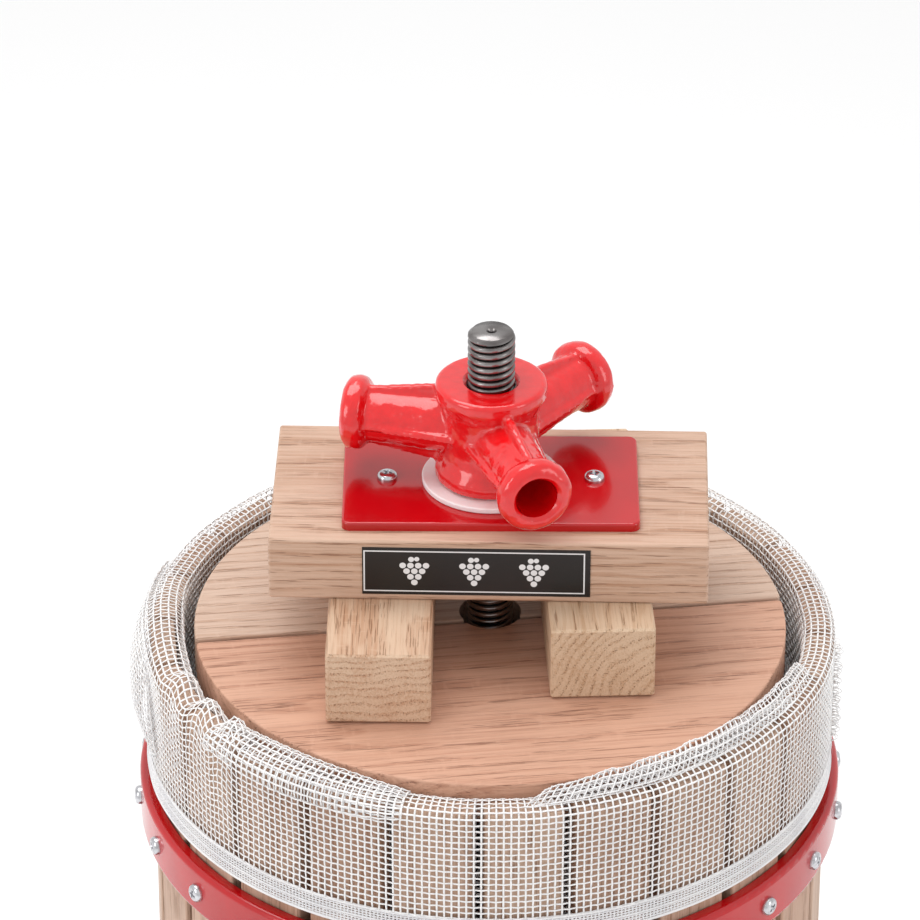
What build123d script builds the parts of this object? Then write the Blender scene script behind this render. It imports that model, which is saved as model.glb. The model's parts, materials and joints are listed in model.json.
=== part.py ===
"""Basket wine press: red steel tray on three legs, slatted oak basket with a folded-over
mesh bag, half-round press plates, blocks and crossbeam, and a cast head on a screw spindle.

Millimetres, +Z up. The origin is on the spindle's axis, on the floor that the feet stand on.
The front of the press is -Y, and the spout points that way.
"""
from build123d import *
import os
from math import cos, radians, sin, sqrt

os.makedirs("parts", exist_ok=True)

# Screw spindle and its fastening
spindle_r = 12.0
spindle_above_rim = 174.0
spindle_tip_chamfer = 2.0
spindle_centre_r = 2.6
spindle_centre_depth = 5.0
spindle_tail = 8.0
thread_fit = 0.05
nut_af = 36.0
nut_chamfer_h = 1.4
nut_chamfer_w = 2.2
lower_nut_h = 19.0
upper_nut_h = 12.0
washer_r = 22.0
washer_t = 4.0
seal_r = 24.0
seal_t = 3.0

# Tray, anchor plate and spout
tray_underside_z = 240.0
tray_t = 2.5
tray_channel_w = 32.2
tray_h = 46.0
tray_corner_r = 10.0
tray_bead_r = 4.0
anchor_r = 60.0
anchor_t = 8.0
anchor_chamfer = 1.0
spout_inner_w = 46.0
spout_h = 28.0
spout_t = 2.5
spout_length = 108.0
spout_slope = 12.0
spout_root_inset = 3.0
spout_mouth_rake = 14.0
spout_mouth_rake_h = 17.0

# Legs
leg_count = 3
leg_t = 4.0
leg_w = 46.0
leg_tab_margin = 17.0
leg_outset = 3.0
leg_splay = 28.0
leg_foot_length = 42.0
leg_bend_r = 9.0
leg_flange_t = 3.0
leg_flange_d = 16.0
foot_hole_r = 5.5
foot_hole_from_end = 16.0
leg_bolt_r = 4.0
leg_bolt_clearance = 0.4
leg_bolt_spacing = 24.0
leg_bolt_head_af = 13.0
leg_bolt_head_h = 5.3
leg_bolt_head_chamfer = 0.8
leg_nut_h = 6.5
leg_bolt_tail = 3.0

# Basket
basket_corner_r = 175.5
basket_h = 335.0
stave_count = 24
stave_gap = 6.5
stave_t = 12.0
stave_arris = 1.6
first_stave_azimuth = 5.8
hoop_depth = 7.0
hoop_h = 27.5
hoop_t = 2.0
hoop_bend_r = 3.0
hoop_fit = 0.1
upper_hoop_below_rim = 80.5
lower_hoop_above_base = 60.0
hoop_screw_r = 2.5
hoop_screw_head_r = 4.9
hoop_screw_head_h = 3.2
hoop_screw_depth = 9.0
screw_fit = 0.05
pan_head_round_share = 0.75
recess_w = 1.3
recess_l = 4.8
recess_d = 1.6

# Press bag
bag_t = 1.2
bag_gap = 0.5
bag_skirt = 60.0
hem_h = 13.0
hem_t = 2.0
bag_hole_clearance = 4.0

# Press plates, blocks and crossbeam
plate_side_clearance = 8.7
plate_above_rim = 8.0
plate_t = 20.0
rear_plate_extra_t = 0.6
plate_seam_gap = 2.0
plate_seam_yaw = 8.4
plates_shift = 7.5
plate_bore_clearance = 4.0
plate_corner_r = 2.0
plate_arris = 1.2
block_w = 52.5
block_l = 200.0
block_h = 40.0
block_arris = 1.2
left_block_x = -54.6
left_block_front = 106.0
left_block_yaw = -0.5
right_block_x = 51.5
right_block_front = 81.5
right_block_yaw = 3.0
beam_l = 221.0
beam_w = 114.5
beam_h = 34.6
beam_arris = 1.6
beam_yaw = -1.1
beam_shift = 2.4
beam_bore_clearance = 3.5
cap_yaw = 0.2
cap_l = 150.0
cap_w = 88.0
cap_t = 4.5
cap_corner_r = 4.5
cap_edge_r = 1.2
cap_bore_clearance = 2.5
cap_screw_x = 52.6
cap_screw_y = 0.8
cap_screw_r = 2.5
cap_screw_head_r = 5.2
cap_screw_head_h = 2.8
cap_screw_depth = 14.0
label_l = 114.5
label_h = 27.3
label_t = 0.4
label_x = -6.0
rest_gap = 0.05

# Thrust washer and press head
thrust_r = 35.0
thrust_t = 3.0
thrust_bore_clearance = 0.6
head_fit = 0.08
hub_h = 55.0
hub_end_r = 28.8
hub_end_h = 7.0
hub_waist_r = 24.0
socket_count = 3
socket_azimuth = -102.0
socket_r = 14.4
socket_bore_r = 10.8
socket_bore_depth = 45.0
socket_reach = 76.0
socket_bead_r = 19.6
socket_bead_w = 13.0
socket_bead_round = 5.6

# Levels and radii that follow from the sizes above
tray_floor_z = tray_underside_z + tray_t
rim_z = tray_floor_z + basket_h
spindle_top_z = rim_z + spindle_above_rim
plates_top_z = rim_z + plate_above_rim
rear_plate_top_z = plates_top_z + rear_plate_extra_t
beam_z = rear_plate_top_z + rest_gap + block_h + rest_gap
cap_z = beam_z + beam_h
thrust_z = cap_z + cap_t + rest_gap
head_z = thrust_z + thrust_t + rest_gap
stave_pitch = 360.0 / stave_count
stave_half_w = basket_corner_r * sin(radians(stave_pitch / 2)) - stave_gap / 2
stave_outer_a = sqrt(basket_corner_r**2 - stave_half_w**2)
stave_inner_a = stave_outer_a - stave_t
hoop_inner_r = basket_corner_r + hoop_fit
hoop_outer_r = hoop_inner_r + hoop_depth
tray_inner_r = hoop_outer_r + hoop_screw_head_h + tray_channel_w
tray_outer_r = tray_inner_r + tray_t
bag_outer_r = stave_inner_a - bag_gap
plate_r = bag_outer_r - bag_t - plate_side_clearance
plate_bore_r = spindle_r + plate_bore_clearance
beam_bore_r = spindle_r + beam_bore_clearance
cap_bore_r = spindle_r + cap_bore_clearance


def turned(azimuth, origin=(0, 0, 0)):
    """Plane whose X axis points outward at an azimuth counted from the front towards +X."""
    a = radians(azimuth)
    return Plane(origin=origin, x_dir=(sin(a), -cos(a), 0), z_dir=(0, 0, 1))


def upright(azimuth):
    """Plane through the spindle's axis: X points outward at the azimuth, Y points up."""
    a = radians(azimuth)
    return Plane(origin=(0, 0, 0), x_dir=(sin(a), -cos(a), 0), z_dir=(-cos(a), -sin(a), 0))


def finish(part, name):
    """Label a finished piece and write its file."""
    part.label = name
    export_step(part, f"parts/{name}.step")


def pan_head_screw(shank_r, shank_l, head_r, head_h):
    """Pan-head screw with a cross recess, seated on z = 0 with its head upwards."""
    with BuildPart() as screw:
        with BuildSketch():
            Circle(head_r)
        extrude(amount=head_h)
        fillet(screw.edges().group_by(Axis.Z)[-1], radius=head_h * pan_head_round_share)
        with BuildSketch():
            Circle(shank_r)
        extrude(amount=-shank_l)
        with BuildSketch(Plane.XY.offset(head_h)):
            Rectangle(recess_l, recess_w)
            Rectangle(recess_w, recess_l)
        extrude(amount=-recess_d, mode=Mode.SUBTRACT)
    return screw.part


# Tray: a deep-drawn steel dish with a rolled rim, drilled for the spindle and the leg bolts,
# and open at the front where the spout is welded in.
spout_root = (0, -(tray_inner_r - spout_root_inset), tray_floor_z)
spout_fall = radians(spout_slope)
spout_plane = Plane(origin=spout_root, x_dir=(1, 0, 0), z_dir=(0, -cos(spout_fall), -sin(spout_fall)))
spout_outer_w = spout_inner_w + 2 * spout_t
leg_azimuths = [180.0 + 360.0 * i / leg_count for i in range(leg_count)]
leg_bolt_ring_r = tray_inner_r - tray_channel_w / 2
leg_bolt_spots = [
    turned(azimuth).from_local_coords((leg_bolt_ring_r, side * leg_bolt_spacing / 2, 0))
    for azimuth in leg_azimuths
    for side in (-1, 1)
]
with BuildPart() as base_tray:
    with BuildSketch(Plane.XZ):
        with BuildLine():
            Polyline(
                (0, tray_underside_z),
                (tray_outer_r, tray_underside_z),
                (tray_outer_r, tray_underside_z + tray_h),
                (tray_inner_r, tray_underside_z + tray_h),
                (tray_inner_r, tray_floor_z),
                (0, tray_floor_z),
                close=True,
            )
        tray_profile = make_face()
        outer_corner = tray_profile.vertices().sort_by_distance((tray_outer_r, 0, tray_underside_z))[0]
        fillet(outer_corner, radius=tray_corner_r)
    revolve(axis=Axis.Z)
    with BuildSketch(Plane.XZ):
        with Locations((tray_outer_r + tray_bead_r - tray_t, tray_underside_z + tray_h)):
            Circle(tray_bead_r)
    revolve(axis=Axis.Z)
    with BuildSketch(Plane.XY.offset(tray_underside_z)):
        Circle(spindle_r + thread_fit)
        with Locations(*[(spot.X, spot.Y) for spot in leg_bolt_spots]):
            Circle(leg_bolt_r + leg_bolt_clearance)
    extrude(amount=tray_t, mode=Mode.SUBTRACT)
    with BuildSketch(spout_plane):
        with Locations((0, -spout_t)):
            Rectangle(spout_outer_w, spout_t + spout_h, align=(Align.CENTER, Align.MIN))
    extrude(amount=spout_length / 2, mode=Mode.SUBTRACT)
finish(base_tray.part, "base_tray")

# Spout: a folded channel let into the tray's front, falling away from its floor.
with BuildPart() as spout:
    with BuildSketch(spout_plane):
        with Locations((0, -spout_t)):
            Rectangle(spout_outer_w, spout_t + spout_h, align=(Align.CENTER, Align.MIN))
        Rectangle(spout_inner_w, spout_h, align=(Align.CENTER, Align.MIN), mode=Mode.SUBTRACT)
    extrude(amount=spout_length)
    mouth_corners = spout.edges().filter_by(Axis.X).group_by(Axis.Y)[0].group_by(Axis.Z)[-1]
    chamfer(mouth_corners, length=spout_mouth_rake, length2=spout_mouth_rake_h)
finish(spout.part, "spout")

# Anchor plate: a thick steel disc welded under the tray, which takes the pull of the spindle.
anchor_underside_z = tray_underside_z - anchor_t
with BuildPart() as anchor_plate:
    with BuildSketch(Plane.XY.offset(anchor_underside_z)):
        Circle(anchor_r)
        Circle(spindle_r + thread_fit, mode=Mode.SUBTRACT)
    extrude(amount=anchor_t)
    chamfer(anchor_plate.edges().group_by(Axis.Z)[0].sort_by(Edge.length)[-1], length=anchor_chamfer)
finish(anchor_plate.part, "anchor_plate")

# Legs: pressed steel channels, bolted under the tray, with flat feet drilled for floor screws.
leg_names = ["leg_rear", "leg_front_right", "leg_front_left"]
leg_tab_inner_r = leg_bolt_ring_r - leg_tab_margin
leg_top_r = tray_outer_r + leg_outset
leg_foot_r = leg_top_r + leg_splay
leg_line_bottom_z = leg_t / 2
leg_line_top_z = tray_underside_z - leg_t / 2
foot_end_r = leg_foot_r + leg_foot_length
foot_hole_circle_r = foot_end_r - foot_hole_from_end
for name, azimuth in zip(leg_names, leg_azimuths):
    with BuildPart() as leg:
        with BuildSketch(upright(azimuth)):
            with BuildLine():
                FilletPolyline(
                    (leg_tab_inner_r, leg_line_top_z),
                    (leg_top_r, leg_line_top_z),
                    (leg_foot_r, leg_line_bottom_z),
                    (foot_end_r, leg_line_bottom_z),
                    radius=leg_bend_r,
                )
            trace(line_width=leg_t)
        extrude(amount=leg_w / 2, both=True)
        with BuildSketch(upright(azimuth)):
            with BuildLine():
                Polyline(
                    (leg_top_r, leg_line_top_z),
                    (leg_foot_r, leg_line_bottom_z),
                    (leg_foot_r - leg_flange_d, leg_line_bottom_z),
                    (leg_top_r - leg_flange_d, leg_line_top_z),
                    close=True,
                )
            make_face()
        extrude(amount=leg_w / 2, both=True)
        with BuildSketch(upright(azimuth)):
            with BuildLine():
                Polyline(
                    (leg_top_r - leg_t / 2, leg_line_top_z - leg_t / 2),
                    (leg_foot_r - leg_t / 2, leg_line_bottom_z + leg_t / 2),
                    (leg_foot_r - 2 * leg_flange_d, leg_line_bottom_z + leg_t / 2),
                    (leg_top_r - 2 * leg_flange_d, leg_line_top_z - leg_t / 2),
                    close=True,
                )
            make_face()
        extrude(amount=leg_w / 2 - leg_flange_t, both=True, mode=Mode.SUBTRACT)
        with BuildSketch(turned(azimuth)):
            with Locations((foot_hole_circle_r, 0)):
                Circle(foot_hole_r)
        extrude(amount=leg_t, mode=Mode.SUBTRACT)
        with BuildSketch(turned(azimuth, (0, 0, tray_underside_z))):
            with Locations((leg_bolt_ring_r, 0)):
                with GridLocations(0, leg_bolt_spacing, 1, 2):
                    Circle(leg_bolt_r + leg_bolt_clearance)
        extrude(amount=-leg_t, mode=Mode.SUBTRACT)
    finish(leg.part, name)

# Leg bolts: hexagon heads on the tray floor, nuts under the leg tabs.
leg_bolt_l = tray_t + leg_t + leg_nut_h + leg_bolt_tail
with BuildPart() as leg_bolts:
    with BuildSketch(Plane.XY.offset(tray_floor_z)):
        with Locations(*[(spot.X, spot.Y) for spot in leg_bolt_spots]):
            RegularPolygon(leg_bolt_head_af / 2, 6, major_radius=False)
    extrude(amount=leg_bolt_head_h)
    chamfer(leg_bolts.edges().group_by(Axis.Z)[-1], length=leg_bolt_head_chamfer)
    with BuildSketch(Plane.XY.offset(tray_floor_z)):
        with Locations(*[(spot.X, spot.Y) for spot in leg_bolt_spots]):
            Circle(leg_bolt_r)
    extrude(amount=-leg_bolt_l)
finish(leg_bolts.part, "leg_bolts")
with BuildPart() as leg_nuts:
    with BuildSketch(Plane.XY.offset(tray_underside_z - leg_t - leg_nut_h)):
        with Locations(*[(spot.X, spot.Y) for spot in leg_bolt_spots]):
            RegularPolygon(leg_bolt_head_af / 2, 6, major_radius=False)
            Circle(leg_bolt_r + thread_fit, mode=Mode.SUBTRACT)
    extrude(amount=leg_nut_h)
finish(leg_nuts.part, "leg_nuts")

# Spindle: a threaded steel bar, turned down at its tip, clamped through the tray between nuts.
lower_washer_z = anchor_underside_z - washer_t
lower_nut_z = lower_washer_z - lower_nut_h
spindle_foot_z = lower_nut_z - spindle_tail
with BuildPart() as spindle:
    with BuildSketch(Plane.XY.offset(spindle_foot_z)):
        Circle(spindle_r)
    extrude(amount=spindle_top_z - spindle_foot_z)
    chamfer(spindle.edges().group_by(Axis.Z)[-1], length=spindle_tip_chamfer)
    chamfer(spindle.edges().group_by(Axis.Z)[0], length=spindle_tip_chamfer)
    with Locations((0, 0, spindle_top_z)):
        CounterSinkHole(spindle_centre_r / 2, spindle_centre_r, depth=spindle_centre_depth)
finish(spindle.part, "spindle")


def ring(z, inner_r, outer_r, height):
    """Flat ring about the spindle's axis, standing on a level."""
    with BuildPart() as made:
        with BuildSketch(Plane.XY.offset(z)):
            Circle(outer_r)
            Circle(inner_r, mode=Mode.SUBTRACT)
        extrude(amount=height)
    return made.part


def spindle_nut(z, height):
    """Hexagon nut on the spindle, with its corners turned off top and bottom."""
    corner_r = nut_af / sqrt(3)
    with BuildPart() as made:
        with BuildSketch(Plane.XY.offset(z)):
            Circle(corner_r)
        extrude(amount=height)
        chamfer(made.edges().filter_by(GeomType.CIRCLE), length=nut_chamfer_h, length2=nut_chamfer_w)
        with BuildSketch(Plane.XY.offset(z)):
            RegularPolygon(nut_af / 2, 6, major_radius=False)
        extrude(amount=height, mode=Mode.INTERSECT)
        with BuildSketch(Plane.XY.offset(z)):
            Circle(spindle_r + thread_fit)
        extrude(amount=height, mode=Mode.SUBTRACT)
    return made.part


# Spindle fastening: washer and nut below the anchor plate; seal, washer and thin nut in the tray.
upper_washer_z = tray_floor_z + seal_t
upper_nut_z = upper_washer_z + washer_t
finish(ring(lower_washer_z, spindle_r + thread_fit, washer_r, washer_t), "lower_washer")
finish(spindle_nut(lower_nut_z, lower_nut_h), "lower_nut")
finish(ring(tray_floor_z, spindle_r + thread_fit, seal_r, seal_t), "tray_seal")
finish(ring(upper_washer_z, spindle_r + thread_fit, washer_r, washer_t), "upper_washer")
finish(spindle_nut(upper_nut_z, upper_nut_h), "upper_nut")

# Hoops: steel channels rolled into rings, flanges turned in against the staves.
hoop_levels = {
    "lower_hoop": tray_floor_z + lower_hoop_above_base,
    "upper_hoop": rim_z - upper_hoop_below_rim - hoop_h,
}
stave_azimuths = [first_stave_azimuth + stave_pitch * i for i in range(stave_count)]
hoop_screw_l = hoop_outer_r - stave_outer_a + hoop_screw_depth


def screw_seat(azimuth, z):
    """Plane on the outside of a hoop, in the middle of a stave, facing outward."""
    a = radians(azimuth)
    return Plane(
        origin=(hoop_outer_r * sin(a), -hoop_outer_r * cos(a), z),
        x_dir=(cos(a), sin(a), 0),
        z_dir=(sin(a), -cos(a), 0),
    )


hoop_screw = pan_head_screw(hoop_screw_r, hoop_screw_l, hoop_screw_head_r, hoop_screw_head_h)
for name, level in hoop_levels.items():
    seats = [screw_seat(azimuth, level + hoop_h / 2) for azimuth in stave_azimuths]
    with BuildPart() as hoop:
        with BuildSketch(Plane.XZ):
            with BuildLine():
                Polyline(
                    (hoop_inner_r, level),
                    (hoop_outer_r, level),
                    (hoop_outer_r, level + hoop_h),
                    (hoop_inner_r, level + hoop_h),
                    (hoop_inner_r, level + hoop_h - hoop_t),
                    (hoop_outer_r - hoop_t, level + hoop_h - hoop_t),
                    (hoop_outer_r - hoop_t, level + hoop_t),
                    (hoop_inner_r, level + hoop_t),
                    close=True,
                )
            channel = make_face()
            bends = channel.vertices().group_by(Axis.X)
            fillet(bends[-1], radius=hoop_bend_r)
        revolve(axis=Axis.Z)
        for seat in seats:
            with BuildSketch(seat):
                Circle(hoop_screw_r + screw_fit)
            extrude(amount=-hoop_depth, mode=Mode.SUBTRACT)
    finish(hoop.part, name)
    with BuildPart() as hoop_screws:
        with Locations(*seats):
            add(hoop_screw)
    finish(hoop_screws.part, name + "_screws")

# Staves: flat oak slats set round the hoops with even gaps, each held by one screw per hoop.
for i, azimuth in enumerate(stave_azimuths):
    with BuildPart() as stave:
        with BuildSketch(turned(azimuth, (0, 0, tray_floor_z))):
            with Locations((stave_inner_a + stave_t / 2, 0)):
                RectangleRounded(stave_t, 2 * stave_half_w, stave_arris)
        extrude(amount=basket_h)
        for level in hoop_levels.values():
            with BuildSketch(screw_seat(azimuth, level + hoop_h / 2)):
                Circle(hoop_screw_r + screw_fit)
            extrude(amount=-hoop_screw_l, mode=Mode.SUBTRACT)
    finish(stave.part, f"stave_{i + 1:02d}")

# Press bag: a cloth liner with a hole for the spindle, turned out over the rim as a skirt.
skirt_inner_r = basket_corner_r + bag_gap
bag_hole_r = seal_r + bag_hole_clearance
skirt_z = rim_z - bag_skirt
bag_floor_z = tray_floor_z + bag_gap
with BuildPart() as press_bag:
    with BuildSketch(Plane.XZ):
        with BuildLine():
            Polyline(
                (bag_hole_r, bag_floor_z),
                (bag_outer_r, bag_floor_z),
                (bag_outer_r, rim_z + bag_gap),
                (skirt_inner_r, rim_z + bag_gap),
                (skirt_inner_r, skirt_z),
                (skirt_inner_r + bag_t, skirt_z),
                (skirt_inner_r + bag_t, rim_z + bag_gap + bag_t),
                (bag_outer_r - bag_t, rim_z + bag_gap + bag_t),
                (bag_outer_r - bag_t, bag_floor_z + bag_t),
                (bag_hole_r, bag_floor_z + bag_t),
                close=True,
            )
        make_face()
    revolve(axis=Axis.Z)
finish(press_bag.part, "press_bag")

# Bag hem: the stitched band along the skirt's lower edge.
finish(ring(skirt_z - hem_h, skirt_inner_r, skirt_inner_r + hem_t, hem_h), "bag_hem")


def yawed(yaw, origin):
    """Level plane turned about the vertical."""
    return Plane(origin=origin, x_dir=(cos(radians(yaw)), sin(radians(yaw)), 0), z_dir=(0, 0, 1))


# Press plates: two half discs of oak that meet along a seam and leave a bore for the spindle.
plates_bottom_z = plates_top_z - plate_t
for name, side, top_z in (("front_plate", -1, plates_top_z), ("rear_plate", 1, rear_plate_top_z)):
    with BuildPart() as plate:
        with BuildSketch(yawed(plate_seam_yaw, (0, -plates_shift, plates_bottom_z))):
            Circle(plate_r)
            with Locations((0, side * (plate_r + plate_seam_gap / 2))):
                Rectangle(2 * plate_r, 2 * plate_r, mode=Mode.INTERSECT)
        extrude(amount=top_z - plates_bottom_z)
        fillet(plate.edges().filter_by(Axis.Z), radius=plate_corner_r)
        fillet(plate.edges().group_by(Axis.Z)[-1], radius=plate_arris)
        with BuildSketch(Plane.XY.offset(plates_bottom_z)):
            Circle(plate_bore_r)
        extrude(amount=top_z - plates_bottom_z, mode=Mode.SUBTRACT)
    finish(plate.part, name)

# Press blocks: two oak bars laid front to back on the plates, one each side of the spindle.
blocks_z = rear_plate_top_z + rest_gap
block_places = {
    "block_left": (left_block_x, left_block_front, left_block_yaw),
    "block_right": (right_block_x, right_block_front, right_block_yaw),
}
for name, (x, front, yaw) in block_places.items():
    with BuildPart() as block:
        with BuildSketch(yawed(yaw, (x, block_l / 2 - front, blocks_z))):
            Rectangle(block_w, block_l)
        extrude(amount=block_h)
        chamfer(block.edges(), length=block_arris)
    finish(block.part, name)

# Crossbeam: an oak plank bored for the spindle, laid across the blocks.
beam_plane = yawed(beam_yaw, (0, 0, beam_z))
cap_plane = yawed(cap_yaw, (0, 0, cap_z))
cap_screw_spots = [(-cap_screw_x, cap_screw_y), (cap_screw_x, cap_screw_y)]
with BuildPart() as crossbeam:
    with BuildSketch(beam_plane):
        with Locations((0, beam_shift)):
            Rectangle(beam_l, beam_w)
    extrude(amount=beam_h)
    fillet(crossbeam.edges(), radius=beam_arris)
    with BuildSketch(beam_plane):
        Circle(beam_bore_r)
    extrude(amount=beam_h, mode=Mode.SUBTRACT)
    with BuildSketch(cap_plane):
        with Locations(*cap_screw_spots):
            Circle(cap_screw_r + screw_fit)
    extrude(amount=cap_t - cap_screw_depth, mode=Mode.SUBTRACT)
finish(crossbeam.part, "crossbeam")

# Cap plate: painted steel, screwed to the top of the crossbeam, so that the wood isn't crushed.
with BuildPart() as cap_plate:
    with BuildSketch(cap_plane):
        RectangleRounded(cap_l, cap_w, cap_corner_r)
        Circle(cap_bore_r, mode=Mode.SUBTRACT)
        with Locations(*cap_screw_spots):
            Circle(cap_screw_r + screw_fit, mode=Mode.SUBTRACT)
    extrude(amount=cap_t)
    rim = cap_plate.edges().group_by(Axis.Z)[-1].filter_by(
        lambda edge: edge.geom_type == GeomType.LINE or edge.radius == cap_corner_r)
    fillet(rim, radius=cap_edge_r)
finish(cap_plate.part, "cap_plate")
cap_screw = pan_head_screw(cap_screw_r, cap_screw_depth, cap_screw_head_r, cap_screw_head_h)
cap_top_plane = cap_plane.offset(cap_t)
with BuildPart() as cap_screws:
    with Locations(*[cap_top_plane.location * Location(spot) for spot in cap_screw_spots]):
        add(cap_screw)
finish(cap_screws.part, "cap_screws")

# Label: a plain dark plate on the front of the crossbeam.
with BuildPart() as label_plate:
    with BuildSketch(beam_plane):
        with Locations((label_x, beam_shift - beam_w / 2)):
            Rectangle(label_l, label_t, align=(Align.CENTER, Align.MAX))
    extrude(amount=label_h)
label_lift = (beam_h - label_h) / 2
finish(label_plate.part.moved(Location((0, 0, label_lift))), "label_plate")

# Thrust washer: a nylon ring that the head turns on.
finish(ring(thrust_z, spindle_r + thrust_bore_clearance, thrust_r, thrust_t), "thrust_washer")

# Press head: a cast hub, waisted between two flat ends, with three beaded lever sockets.
socket_z = head_z + hub_h / 2
with BuildPart() as press_head:
    with BuildSketch(Plane.XZ):
        with BuildLine():
            Polyline(
                (hub_waist_r, socket_z),
                (hub_end_r, head_z + hub_end_h),
                (hub_end_r, head_z),
                (0, head_z),
                (0, head_z + hub_h),
                (hub_end_r, head_z + hub_h),
                (hub_end_r, head_z + hub_h - hub_end_h),
                close=True,
            )
        make_face()
    revolve(axis=Axis.Z)
    for i in range(socket_count):
        a = radians(socket_azimuth + 360 * i / socket_count)
        mouth = Plane(
            origin=(socket_reach * sin(a), -socket_reach * cos(a), socket_z),
            x_dir=(0, 0, 1),
            z_dir=(sin(a), -cos(a), 0),
        )
        with BuildSketch(mouth):
            Circle(socket_r)
        extrude(amount=-socket_reach)
        with BuildSketch(mouth):
            Circle(socket_bead_r)
        bead = extrude(amount=-socket_bead_w, mode=Mode.PRIVATE)
        add(bead.fillet(socket_bead_round, bead.edges().filter_by(GeomType.CIRCLE)))
        with BuildSketch(mouth):
            Circle(socket_bore_r)
        extrude(amount=-socket_bore_depth, mode=Mode.SUBTRACT)
    with BuildSketch(Plane.XY.offset(head_z)):
        Circle(spindle_r + head_fit)
    extrude(amount=hub_h, mode=Mode.SUBTRACT)
finish(press_head.part, "press_head")
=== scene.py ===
"""Basket wine press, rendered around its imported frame. Metres, floor at z = 0, front at -Y."""
import json
from math import cos, pi, radians, sin

import bmesh
import bpy
import numpy as np
from mathutils import Matrix, Vector, noise


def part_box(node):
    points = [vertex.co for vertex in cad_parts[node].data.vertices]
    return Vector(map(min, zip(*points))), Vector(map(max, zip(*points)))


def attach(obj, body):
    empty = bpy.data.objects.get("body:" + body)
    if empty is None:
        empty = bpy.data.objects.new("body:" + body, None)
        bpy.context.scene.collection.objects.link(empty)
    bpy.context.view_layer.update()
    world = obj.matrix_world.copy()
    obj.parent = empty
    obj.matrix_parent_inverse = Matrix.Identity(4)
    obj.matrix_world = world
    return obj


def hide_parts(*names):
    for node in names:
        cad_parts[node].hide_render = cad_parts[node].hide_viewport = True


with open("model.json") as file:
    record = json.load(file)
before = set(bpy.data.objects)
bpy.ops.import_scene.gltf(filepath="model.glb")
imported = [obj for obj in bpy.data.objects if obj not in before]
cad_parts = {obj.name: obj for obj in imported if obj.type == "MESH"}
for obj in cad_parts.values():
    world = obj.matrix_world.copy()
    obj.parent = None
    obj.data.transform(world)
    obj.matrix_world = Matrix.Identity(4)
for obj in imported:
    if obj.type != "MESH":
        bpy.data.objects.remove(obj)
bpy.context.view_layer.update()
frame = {"nodes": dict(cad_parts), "record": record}

# Camera: a long lens in front of the press and well above it, looking down at the top of the
# basket, so that the crossbeam and the press plates are seen from above.
plates_top_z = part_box("front_plate")[1].z
camera_back = 2.426
camera_up = 1.525
looks_left = radians(0.37)
looks_down = 30.59
rolls = radians(0.12)
camera = bpy.data.objects.new("camera", bpy.data.cameras.new("camera"))
camera.data.lens = 217.5
camera.data.clip_end = 30
camera.matrix_world = (
    Matrix.Translation((0, -camera_back, plates_top_z + camera_up))
    @ Matrix.Rotation(looks_left, 4, "Z")
    @ Matrix.Rotation(radians(90 - looks_down), 4, "X")
    @ Matrix.Rotation(rolls, 4, "Z")
)
bpy.context.scene.collection.objects.link(camera)
bpy.context.scene.camera = camera
bpy.context.scene.view_settings.view_transform = "Standard"


class Shade:
    """One output in a material's recipe. Arithmetic on it adds the Math nodes."""

    def __init__(self, recipe, socket):
        self.recipe = recipe
        self.socket = socket

    def side(self, name):
        """Another output of the same node."""
        return Shade(self.recipe, self.socket.node.outputs[name])

    def calculate(self, operation, *values):
        return self.recipe.add("ShaderNodeMath", {"operation": operation}, dict(enumerate(values)))

    def __add__(self, other):
        return self.calculate("ADD", self, other)

    def __radd__(self, other):
        return self.calculate("ADD", other, self)

    def __sub__(self, other):
        return self.calculate("SUBTRACT", self, other)

    def __rsub__(self, other):
        return self.calculate("SUBTRACT", other, self)

    def __mul__(self, other):
        return self.calculate("MULTIPLY", self, other)

    def __rmul__(self, other):
        return self.calculate("MULTIPLY", other, self)

    def __truediv__(self, other):
        return self.calculate("DIVIDE", self, other)

    def __pow__(self, other):
        return self.calculate("POWER", self, other)

    def fraction(self):
        return self.calculate("FRACT", self)

    def whole(self):
        return self.calculate("FLOOR", self)

    def unsigned(self):
        return self.calculate("ABSOLUTE", self)

    def step(self, low, high):
        """0 below low, 1 above high, smooth between; low may be the larger."""
        return self.recipe.add(
            "ShaderNodeMapRange",
            {"interpolation_type": "SMOOTHSTEP"},
            {"Value": self, "From Min": low, "From Max": high},
        )


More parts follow.
